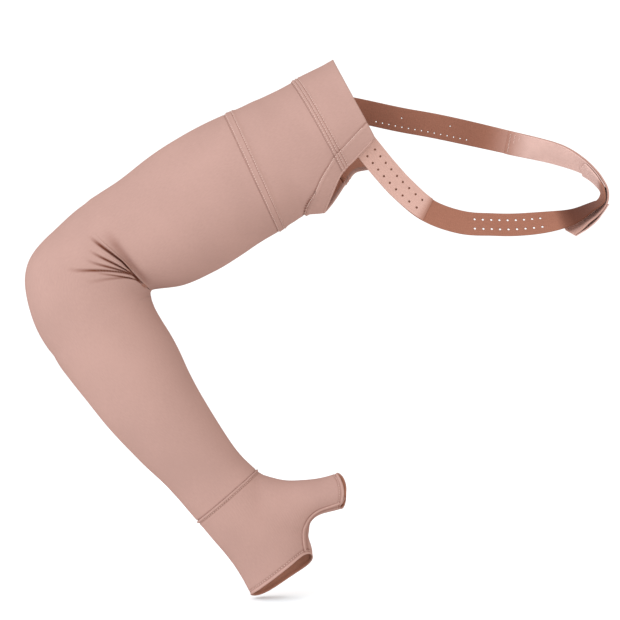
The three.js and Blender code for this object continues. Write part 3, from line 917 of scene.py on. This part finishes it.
# Points (x, z) of the seam round the thumb's crotch, from the finger hem to the thumb hem
CROTCH = SmoothTable("way x z", [
    (0, -54, -417.5), (1, -56.6, -406.8), (2, -57.2, -395.9), (3, -55.6, -389.4), (4, -51.2, -381.7),
    (5, -43.5, -375.1), (6, -32.6, -370.8), (7, -20.5, -367),
])


def centre_of(section):
    return Vector((section.x, 0, section.z)) + heading(section.tilt) * (section.width / 2)


def angle_about(mouth, point):
    """The angle of a point on the ring of a mouth's section."""
    way = point - centre_of(mouth.section)
    across = way.dot(heading(mouth.section.tilt)) / mouth.section.width
    return math.degrees(math.atan2(-way.y / mouth.section.depth, across))


def reach(mouth, angle, before):
    """How far the cloth reaches on at an angle, at a distance before a mouth's front edge."""
    turn = math.radians(angle)
    share = rise(mouth.even - 0.6 * math.sin(turn) - mouth.lean * math.cos(turn), 0, 1)
    way = mouth.back * share + mouth.slant * (1 - share) * (1 + math.cos(turn)) / 2
    return (way + mouth.bulge * math.sin(turn) ** 2) * (1 - rise(before, 0, BACK_RUN))


def from_mouth(mouth, point):
    """How far a point of the form will lie from a mouth's edge; 99 if it is nowhere near."""
    before = (centre_of(mouth.section) - point).dot(mouth.run)
    if before > HEM_AREA or (point - centre_of(mouth.section)).length > mouth.section.width:
        return 99
    angle = angle_about(mouth, point)
    return before + reach(mouth, angle, 0) - reach(mouth, angle, before)


def mouth_ring(mouth, lift, further, pitch):
    """Points round a mouth, each with the direction out of the cloth. further is past the cloth's edge."""
    count = round(girth(mouth.section) / pitch)
    for i in range(count + 1):
        angle = 360 * i / count - 180
        point = ring_point(mouth.section, angle, lift)
        point += mouth.run * (reach(mouth, angle, max(-further, 0)) + further)
        yield point, ring_normal(mouth.section, angle)


def joined(parts):
    """One bmesh of several."""
    whole = bmesh.new()
    for part in parts:
        mesh = bpy.data.meshes.new("part")
        part.to_mesh(mesh)
        part.free()
        whole.from_mesh(mesh)
        bpy.data.meshes.remove(mesh)
    return whole


def tube_solid(section, stations):
    """A closed solid through a tube's rings."""
    def place(share, row):
        return ring_point(section(stations[row]), 360 * share - 180)

    bm = grid_mesh(72, len(stations) - 1, place, lambda share, row: (0, 0))
    bmesh.ops.holes_fill(bm, edges=[edge for edge in bm.edges if edge.is_boundary], sides=0)
    bmesh.ops.recalc_face_normals(bm, faces=bm.faces)
    return bm


def fused(bm, voxel):
    """The bmesh's solids as one, on an even mesh."""
    mesh = bpy.data.meshes.new("form")
    bm.to_mesh(mesh)
    bm.free()
    form = bpy.data.objects.new("form", mesh)
    bpy.context.scene.collection.objects.link(form)
    knit = form.modifiers.new("Knit together", "REMESH")
    knit.mode = "VOXEL"
    knit.voxel_size = voxel * MM
    even = form.evaluated_get(bpy.context.evaluated_depsgraph_get())
    whole = bmesh.new()
    whole.from_mesh(even.to_mesh())
    even.to_mesh_clear()
    bpy.data.objects.remove(form)
    bpy.data.meshes.remove(mesh)
    return whole


def smoothed(bm, verts, times):
    for _ in range(times):
        bmesh.ops.smooth_vert(bm, verts=verts, factor=0.5, use_axis_x=True, use_axis_y=True, use_axis_z=True)


def palm_or_wrist(at):
    return palm_section(at) if at >= 0 else sleeve_section(-at)


def gauntlet_form():
    """Palm and thumb knitted in one piece, open at the wrist, the fingers and the thumb."""
    palm = tube_solid(palm_or_wrist, spread((-9, 90, 2)))
    thumb = tube_solid(thumb_section, spread((0, 80, 2)))
    bm = fused(joined([palm, thumb]), VOXEL)
    smoothed(bm, bm.verts, 24)
    for around in (34, 31, 28, 25, 22, 19):
        x, z = THUMB_ROOT
        near = [vert for vert in bm.verts if math.hypot(vert.co.x / MM - x, vert.co.z / MM - z) < around]
        smoothed(bm, near, 20)
    for mouth, further in ((FINGERS, 0), (THUMB_TIP, 0), (WRIST, WRIST_EDGE)):
        geometry = [*bm.verts, *bm.edges, *bm.faces]
        edge = (centre_of(mouth.section) + mouth.run * further) * MM
        cut = {"plane_co": edge, "plane_no": mouth.run, "clear_outer": True}
        bmesh.ops.bisect_plane(bm, geom=geometry, dist=1e-6, **cut)
    loose = [vert for vert in bm.verts if not vert.link_faces]
    bmesh.ops.delete(bm, geom=loose, context="VERTS")
    return bm


def gauntlet_relief(point):
    """How far the gauntlet's cloth stands out over the sleeve's end and is pressed in under its stitches."""
    below = WRIST_EDGE - (point - centre_of(WRIST.section)).dot(WRIST.run)
    lift = 0.5 * (1 - rise(below, 2, 9)) - 1.6 * (1 - rise(below, 0, 1.3))
    lift += bump(below - 1.7, 0.9) - 0.7 * bump(below - 3.6, 0.9)
    lift -= sum(0.45 * bump(from_mouth(mouth, point) - HEM_STITCHES, 0.9) for mouth in (FINGERS, THUMB_TIP))
    return lift + unevenness(point)


@lru_cache(None)
def crotch_line():
    """Spots (x, z) along the crotch's seam."""
    return [Vector((spot.x, spot.z)) for spot in (CROTCH(i / 10) for i in range(71))]


def gauntlet_painted_shade(point):
    """How much painted shade darkens the gauntlet's cloth beside its seams."""
    depth = 0.5 * bump(WRIST_EDGE - 3.3 - (point - centre_of(WRIST.section)).dot(WRIST.run), 0.7)
    depth += sum(0.45 * bump(from_mouth(mouth, point) - HEM_STITCHES, 0.8) for mouth in (FINGERS, THUMB_TIP))
    if point.x > -64:
        depth += 0.45 * bump(min((point.xz - spot).length for spot in crotch_line()) - 1.5, 0.7)
    return min(depth, 1)


def gauntlet_mesh():
    bm = gauntlet_form()
    bm.normal_update()
    fold = bm.verts.layers.float.new("fold")
    for vert in bm.verts:
        vert[fold] = gauntlet_painted_shade(vert.co / MM)
    moves = []
    for vert in bm.verts:
        point = vert.co / MM
        mouths = (FINGERS, THUMB_TIP) if point.z > THUMB_ABOVE else (FINGERS,)
        move = vert.normal * gauntlet_relief(point)
        for mouth in mouths:
            before = (centre_of(mouth.section) - point).dot(mouth.run)
            if before < BACK_RUN:
                move += mouth.run * reach(mouth, angle_about(mouth, point), before)
        moves.append(move)
    for vert, move in zip(bm.verts, moves):
        vert.co += move * MM
    cut = bm.loops.layers.uv.new("cut")
    across, down = heading(palm_section(40).tilt), heading(palm_section(40).tilt + 90)
    middle = centre_of(palm_section(40))
    for face in bm.faces:
        for loop in face.loops:
            way = loop.vert.co - middle * MM
            spread_out = 1 + (way.y + 0.024) / 0.07  # more towards the back of the hand
            loop[cut].uv = (way.dot(across) * spread_out, way.dot(down))
    return bm


def slimmed(out):
    """The share of its thickness that a rolled hem has where the cloth faces this way; its back is slim."""
    return 1 - 0.6 * rise(out.y, -0.8, 0.2)


def cord_mesh(spots, radius, columns, tips=False, shape=lambda out: 1):
    """A round cord through spots, each a point and the direction out of the cloth, which shape turns into its
    thickness. tips draws in its ends."""
    def place(share, row):
        point, out = spots[row]
        before, after = max(row - 1, 0), min(row + 1, len(spots) - 1)
        if not tips:
            before, after = (row - 1 if row else -2), (row + 1 if row < after else 1)
        along = (spots[after][0] - spots[before][0]).normalized()
        side = along.cross(out).normalized()
        up = side.cross(along)
        thick = radius * (1 + 0.06 * noise.noise(point / 5)) * shape(out)
        if tips:
            thick *= min(1, math.sqrt(min(row, len(spots) - 1 - row) / 3))
        turn = math.tau * share
        return point + (side * math.cos(turn) + up * math.sin(turn)) * thick

    def flat(share, row):
        return math.tau * radius * share, row * 2.0

    bm = grid_mesh(columns, len(spots) - 1, place, flat)
    bmesh.ops.recalc_face_normals(bm, faces=bm.faces)
    return bm


class SLEEVE_OT_gauntlet(bpy.types.Operator):
    """Knit the gauntlet with its thumb, and add its rolled hems, seams and stitches"""

    bl_idname = "sleeve.gauntlet"
    bl_label = "Gauntlet"

    def execute(self, context):
        sizes = in_mm(context.scene.sleeve_sizes)
        bm = gauntlet_mesh()
        skin = BVHTree.FromBMesh(bm)
        area = sum(face.calc_area() for face in bm.faces)
        faces = [material("knit"), material("knit_inside")]
        cloth = add_piece("gauntlet_cloth", bm, faces, ["gauntlet"])
        give_wall(cloth, WALL)
        for node, mouth in (("finger_hem", FINGERS), ("thumb_hem", THUMB_TIP)):
            ring = mouth_ring(mouth, -WALL / 2, -0.6, 1.2)
            spots = [(point + mouth.run * sizes.roll / 2 * slimmed(out), out) for point, out in ring]
            hem = cord_mesh(spots, sizes.roll / 2, 14, shape=slimmed)
            add_piece(node + "_roll", hem, [material("knit_hem")], [node])
        self.crotch_seam(skin)
        self.stitches(sizes, skin)
        width = girth(palm_section(0)) + girth(THUMB_TIP.section)
        length = FINGERS.section.at + FINGERS.back + WRIST_EDGE
        width * MM
        length * MM
        return {"FINISHED"}

    def crotch_seam(self, skin):
        sides = []
        for side in (-1, 1):
            spots = []
            for spot in crotch_line():
                start = Vector((spot.x, 90 * side, spot.y)) * MM
                place, normal = skin.ray_cast(start, Vector((0, -side, 0)))[:2]
                if place is None:
                    place, normal = skin.find_nearest(start * Vector((1, 0.2, 1)))[:2]
                spots.append((place / MM, normal))
            sides.append(cord_mesh(spots, SEAM_RADIUS, 8, tips=True))
        return add_piece("gauntlet_seam", joined(sides), [material("knit_hem")])

    def stitches(self, sizes, skin):
        """The row of stitches inside each hem, and the row under the wrist's edge."""
        bm = bmesh.new()
        hems = (FINGERS, -HEM_STITCHES), (THUMB_TIP, -HEM_STITCHES)
        for mouth, further in (*hems, (WRIST, WRIST_EDGE - 3.4)):
            spots = []
            for point, _ in mouth_ring(mouth, 0, further, sizes.stitch):
                place, normal = skin.find_nearest(point * MM)[:2]
                spots.append((place / MM, normal))
            add_stitch_row(bm, spots, sizes.thread / 2, 0.7)
        return add_piece("gauntlet_stitches", bm, [material("thread")])


# ---- Strap -----------------------------------


def cubic(values, t, tense=None):
    """A point and its slope between the second and third of four values."""
    v0, v1, v2, v3 = values
    d0, d1, d2 = tense or (1, 1, 1)
    first = ((v1 - v0) / d0 - (v2 - v0) / (d0 + d1) + (v2 - v1) / d1) * d1
    last = ((v2 - v1) / d1 - (v3 - v1) / (d1 + d2) + (v3 - v2) / d2) * d1
    bend = (v2 - v1) * 3 - first * 2 - last
    twist = (v1 - v2) * 2 + first + last
    return v1 + first * t + bend * t * t + twist * t**3, first + bend * 2 * t + twist * 3 * t * t


class Route:
    """The tape's middle line through rows of the strap's table, followed by length."""

    def __init__(self, rows):
        self.points = self.extended([Vector(row[:3]) for row in rows])
        self.rolls = self.extended([row[3] for row in rows])
        self.marks = [i / 20 for i in range(20 * (len(rows) - 1) + 1)]
        self.lengths = [0.0]
        for start, end in zip(self.marks, self.marks[1:]):
            self.lengths.append(self.lengths[-1] + (self.line(end)[0] - self.line(start)[0]).length)

    @staticmethod
    def extended(values):
        return [values[0] * 2 - values[1], *values, values[-1] * 2 - values[-2]]

    def part(self, values, row):
        i = min(max(int(row), 0), len(values) - 4)
        return values[i : i + 4], row - i

    def line(self, row):
        points, t = self.part(self.points, row)
        steps = [math.sqrt((b - a).length) for a, b in zip(points, points[1:])]
        return cubic(points, t, steps)

    def row_at(self, length):
        i = min(max(bisect_right(self.lengths, length) - 1, 0), len(self.marks) - 2)
        share = (length - self.lengths[i]) / (self.lengths[i + 1] - self.lengths[i])
        return mix(self.marks[i], self.marks[i + 1], share)

    def length_at(self, row):
        whole = min(int(row * 20), len(self.marks) - 2)
        return mix(self.lengths[whole], self.lengths[whole + 1], row * 20 - whole)

    def frame(self, row):
        """Point, facing and width direction at a row."""
        point, run = self.line(row)
        run = run.normalized()
        front = (Vector((0, -1, 0)) + run * run.y).normalized()
        roll = cubic(*self.part(self.rolls, row))[0]
        facing = Matrix.Rotation(math.radians(roll), 3, run) @ front
        return point, facing, run.cross(facing)


BACK_ROUTE = Route(LOOP[: OVERLAP_TO + 1] + TAIL)
FRONT_ROUTE = Route(LOOP[OVERLAP_FROM:])
FRONT_STARTS = 1.1  # row of the front route where the front tape ends, on the patch
PATCH_ROWS = (4, 8)
FACING_ROWS = (11, 15)
FRONT_POINT = 3.5  # how far the front tape's end is drawn to a point
TAB_BULGE = 2.5
TAB_ENDS = 13  # row of the back route
PITCH = 1.15  # spacing of a tape's mesh


def layer_lifts(strap):
    """How far each layer's middle lies from the route, towards the tape's inner face."""
    on_tape = (strap.tape + strap.patch) / 2 + strap.gap
    on_patch = on_tape + (strap.patch + strap.tape) / 2 + 2 * strap.gap

    def front(row):
        return on_patch * (1 - rise(row + OVERLAP_FROM, OVERLAP_TO, OVERLAP_TO + 3))

    def tab(row):
        share = (len(BACK_ROUTE.rolls) - 3 - row) / (len(BACK_ROUTE.rolls) - 3 - OVERLAP_TO)
        return -on_tape - TAB_BULGE * math.sin(math.pi * share) ** 2

    return on_tape, front, tab


def hole_row(start, pitch, count, across, width):
    return [(start + pitch * i, across, width) for i in range(count)]


def paired_holes(start, pitch, across, width):
    """Two rows of nine holes, one on each side of the tape's middle."""
    return hole_row(start, pitch, 9, -across, width) + hole_row(start, pitch, 9, across, width)


# Tape between two lengths of its route, at a lift from it by the row, with round holes, each a length, a
# distance from the middle and a width. point draws the start's middle out past its corners, and pale and fold
# mark its colour by the row: fold paints shade, and pale paints light on the front tape.
Stretch = namedtuple("Stretch", "route start end lift holes point pale fold")


def tape_mesh(stretch, width):
    route, start, end, lift, holes, point, pale, fold = stretch
    bm = bmesh.new()
    marks = {"pale": pale, "fold": fold}
    marks = [(bm.verts.layers.float.new(name), mark) for name, mark in marks.items() if mark]
    columns, rows = round(width / PITCH), round((end - start) / PITCH)
    bmesh.ops.create_grid(bm, x_segments=columns, y_segments=rows, size=0.5)
    net = {}
    for vert in bm.verts:
        column, row = round((vert.co.x + 0.5) * columns), round((vert.co.y + 0.5) * rows)
        net[column, row] = vert
        vert.co = ((column / columns - 0.5) * width, row / rows * (end - start), 0)
    gone = []
    for length, across, size in holes:
        spot = Vector((across, length - start, 0))
        column, row = round((across / width + 0.5) * columns), round((length - start) / (end - start) * rows)
        for i in (-1, 0, 1):
            for j in (-1, 0, 1):
                way = net[column + i, row + j].co - net[column, row].co
                if i or j:
                    net[column + i, row + j].co = spot + way.normalized() * size / 2
        gone.append(net[column, row])
    bmesh.ops.delete(bm, geom=gone, context="VERTS")
    cut = bm.loops.layers.uv.new("cut")
    for face in bm.faces:
        for loop in face.loops:
            loop[cut].uv = loop.vert.co.xy * MM
    for vert in bm.verts:
        across, along = vert.co.xy
        along -= point * (1 - abs(across) / width * 2) * (1 - rise(along, 0, 12))
        row = route.row_at(start + along)
        for layer, mark in marks:
            vert[layer] = mark(row)
        middle, facing, side = route.frame(row)
        level = lift(row) + 0.18 * noise.noise(Vector((along / 16, across / 14, start)))
        vert.co = (middle + facing * level + side * across) * MM
    return bm


def add_tape(name, node, stretch, width, thickness, faces):
    tape = add_piece(name, tape_mesh(stretch, width), faces, [node])
    give_wall(tape, thickness, 0)
    soften(tape)
    width * MM
    (stretch.end - stretch.start) * MM


def back_pale(row):
    """The back tape lightens towards its patch."""
    return 0.45 * rise(row, PATCH_ROWS[0] - 0.35, PATCH_ROWS[0] + 0.2)


def back_painted_shade(row):
    """Painted shade: the back tape is a little darker behind the shoulder. A narrow band before its patch is
    darker too.
    """
    return 0.1 * rise(row, 0, 1.5) * (1 - rise(row, 2.9, 3.9)) + 0.22 * bump(row - 3.5, 0.35)


def front_painted_light(row):
    """Painted light: the front tape is pale up to the strap's turn, where its face is lit."""
    return 1 - rise(row, 1.9, 2.8)


def front_painted_shade(row):
    """Painted shade: past the turn its face is dark, for a stretch that ends quite sharply."""
    return rise(row, 2.6, 5.4) * (1 - 0.3 * rise(row, 5.9, 6.4)) * (1 - rise(row, 6.25, 6.65))


class STRAP_OT_tape(bpy.types.Operator):
    """Lay the strap's back tape with its free tail, and the front tape that is pressed onto its patch"""

    bl_idname = "strap.tape"
    bl_label = "Tapes"

    def execute(self, context):
        strap = in_mm(context.scene.strap_sizes)
        _, front_lift, _ = layer_lifts(strap)
        small = strap.hole * 0.45
        holes = hole_row(36.5, 6.46, 15, 6.8, strap.hole * 0.5) + [(60.4, -1.9, small), (108.5, -2.9, small)]
        ends = 0, BACK_ROUTE.lengths[-1]
        back = Stretch(BACK_ROUTE, *ends, lambda row: 0, holes, 0, back_pale, back_painted_shade)
        holes = paired_holes(134.9, 7.99, 4.8, strap.hole)
        ends = FRONT_ROUTE.length_at(FRONT_STARTS), FRONT_ROUTE.lengths[-1]
        front = Stretch(FRONT_ROUTE, *ends, front_lift, holes, FRONT_POINT, front_painted_light, front_painted_shade)
        for node, stretch in (("strap_back", back), ("strap_front", front)):
            faces = [material("tape"), material("facing")]
            add_tape(node + "_tape", node, stretch, strap.width, strap.tape, faces)
        return {"FINISHED"}


class STRAP_OT_layers(bpy.types.Operator):
    """Add the soft patch, the light facing next to the sleeve and the hook tab, with their stitches"""

    bl_idname = "strap.layers"
    bl_label = "Fastening Layers"

    def execute(self, context):
        strap = in_mm(context.scene.strap_sizes)
        on_tape, front_lift, tab_lift = layer_lifts(strap)
        holes = paired_holes(FRONT_ROUTE.length_at(FACING_ROWS[0]) + 10.4, 8.6, 4.65, strap.hole)
        tab_rows = (OVERLAP_TO, TAB_ENDS)
        for name, route, (first, last), lift, holes, finish, fade in (
            ("strap_patch_pile", BACK_ROUTE, PATCH_ROWS, lambda row: on_tape, (), "patch", 0.45),
            ("strap_facing_layer", FRONT_ROUTE, FACING_ROWS, lambda row: on_tape + front_lift(row), holes,
             "facing", 0.3),
            ("strap_hook_tab_layer", BACK_ROUTE, tab_rows, tab_lift, (), "patch", 0),
        ):
            ends = route.length_at(first), route.length_at(last)
            stretch = Stretch(route, *ends, self.sunk(lift, first), holes, 0, None, self.faded(first, fade))
            faces, node = [material(finish)] * 2, name.rsplit("_", 1)[0]
            add_tape(name, node, stretch, strap.width, strap.patch, faces)
        self.stitches(strap, in_mm(context.scene.sleeve_sizes).thread, on_tape)
        return {"FINISHED"}

    @staticmethod
    def sunk(lift, first):
        """A layer's lift, with its start pressed into the tape."""
        return lambda row: lift(row) - 0.9 * (1 - rise(row, first, first + 0.09))

    @staticmethod
    def faded(first, length):
        """The mark for a layer that takes the tape's colour towards its start; on the facing it is painted
        shade where the tape bends.
        """
        return (lambda row: 1 - rise(row, first - length / 3, first + length)) if length else None

    def stitches(self, strap, thread, on_tape):
        """Zigzags of stitches across the start of the patch, through the back tape."""
        bm = bmesh.new()
        start = BACK_ROUTE.length_at(PATCH_ROWS[0])
        level = on_tape + strap.patch / 2
        for first, low, high in ((3.2, -10, 10), (7.6, -10, -1), (12, -10, -3.5)):
            spots = []
            for i in range(round((high - low) / 1.5) + 1):
                middle, facing, side = BACK_ROUTE.frame(BACK_ROUTE.row_at(start + first))
                spots.append((middle + facing * level + side * (low + 1.5 * i), facing))
            add_stitch_row(bm, spots, thread / 2, 0.6, 1.0)
        add_piece("strap_stitches", bm, [material("thread")])


# ---- Studio ----------------------------------

AIM = Vector((-50.9, 0, -185.2))  # the middle of the picture


class SLEEVE_OT_studio(bpy.types.Operator):
    """Set up the pale floor, the soft light and the camera"""

    bl_idname = "sleeve.studio"
    bl_label = "Studio"

    def execute(self, context):
        studio = context.scene.sleeve_studio
        floor = bmesh.new()
        bmesh.ops.create_grid(floor, x_segments=1, y_segments=1, size=30)
        bmesh.ops.translate(floor, verts=floor.verts, vec=(0, 0, cad_box[0][2] - 0.3 * MM))
        mesh = bpy.data.meshes.new("floor")
        floor.to_mesh(mesh)
        floor.free()
        mesh.materials.append(stage_material("pale_floor", 0.8, 0.2))
        ground = bpy.data.objects.new("floor", mesh)
        context.scene.collection.objects.link(ground)

        world = bpy.data.worlds.new("studio")
        context.scene.world = world
        world.use_nodes = True
        background = world.node_tree.nodes["Background"]
        background.inputs["Color"].default_value = (1, 1, 1, 1)
        background.inputs["Strength"].default_value = studio.sky

        key = bpy.data.lights.new("key", "AREA")
        key.size = 2.4
        key.color = (0.76, 0.89, 1)
        key.energy = studio.key
        self.aimed(context, "key", key, Vector((-2.2, -2.1, 0.88)))
        fill = bpy.data.lights.new("fill", "AREA")
        fill.size = 2
        fill.energy = studio.fill
        self.aimed(context, "fill", fill, Vector((1.5, -1.5, 1.1)))
        lens = bpy.data.cameras.new("camera")
        lens.sensor_width = 36
        lens.lens = studio.lens
        lens.clip_end = 100
        context.scene.camera = self.aimed(context, "camera", lens, AIM * MM - Vector((0, studio.distance, 0)))
        context.scene.view_settings.view_transform = "Standard"
        return {"FINISHED"}

    def aimed(self, context, name, data, place):
        made = bpy.data.objects.new(name, data)
        context.scene.collection.objects.link(made)
        made.location = place
        made.rotation_euler = (AIM * MM - place).to_track_quat("-Z", "Y").to_euler()
        return made


# ---- Add-on ----------------------------------


class SLEEVE_PT_panel(bpy.types.Panel):
    """The sleeve's pieces and settings"""

    bl_idname = "SLEEVE_PT_panel"
    bl_label = "Arm Sleeve"
    bl_space_type = "VIEW_3D"
    bl_region_type = "UI"
    bl_category = "Arm Sleeve"

    def draw(self, context):
        for title, group in (
            ("Sizes", "sleeve_sizes"),
            ("Strap", "strap_sizes"),
            ("Colours", "sleeve_colours"),
            ("Studio", "sleeve_studio"),
        ):
            box = self.layout.box()
            box.label(text=title)
            settings = getattr(context.scene, group)
            for name in type(settings).__annotations__:
                box.prop(settings, name)
        column = self.layout.column(align=True)
        for operator in OPERATORS:
            column.operator(operator.bl_idname)


GROUPS = {
    "sleeve_sizes": SleeveSizes,
    "strap_sizes": StrapSizes,
    "sleeve_colours": SleeveColours,
    "sleeve_studio": StudioSettings,
}
OPERATORS = (
    SLEEVE_OT_arm_tube,
    SLEEVE_OT_shoulder,
    SLEEVE_OT_armhole_hem,
    SLEEVE_OT_gauntlet,
    STRAP_OT_tape,
    STRAP_OT_layers,
    SLEEVE_OT_studio,
)


def register():
    for kind in (*GROUPS.values(), *OPERATORS, SLEEVE_PT_panel):
        bpy.utils.register_class(kind)
    for name, group in GROUPS.items():
        setattr(bpy.types.Scene, name, PointerProperty(type=group))


def unregister():
    for name in GROUPS:
        delattr(bpy.types.Scene, name)
    for kind in reversed((*GROUPS.values(), *OPERATORS, SLEEVE_PT_panel)):
        bpy.utils.unregister_class(kind)


def main():
    register()
    bpy.ops.sleeve.arm_tube()
    bpy.ops.sleeve.shoulder()
    bpy.ops.sleeve.armhole_hem()
    bpy.ops.sleeve.gauntlet()
    bpy.ops.strap.tape()
    bpy.ops.strap.layers()
    bpy.ops.sleeve.studio()


if __name__ == "__main__":
    main()
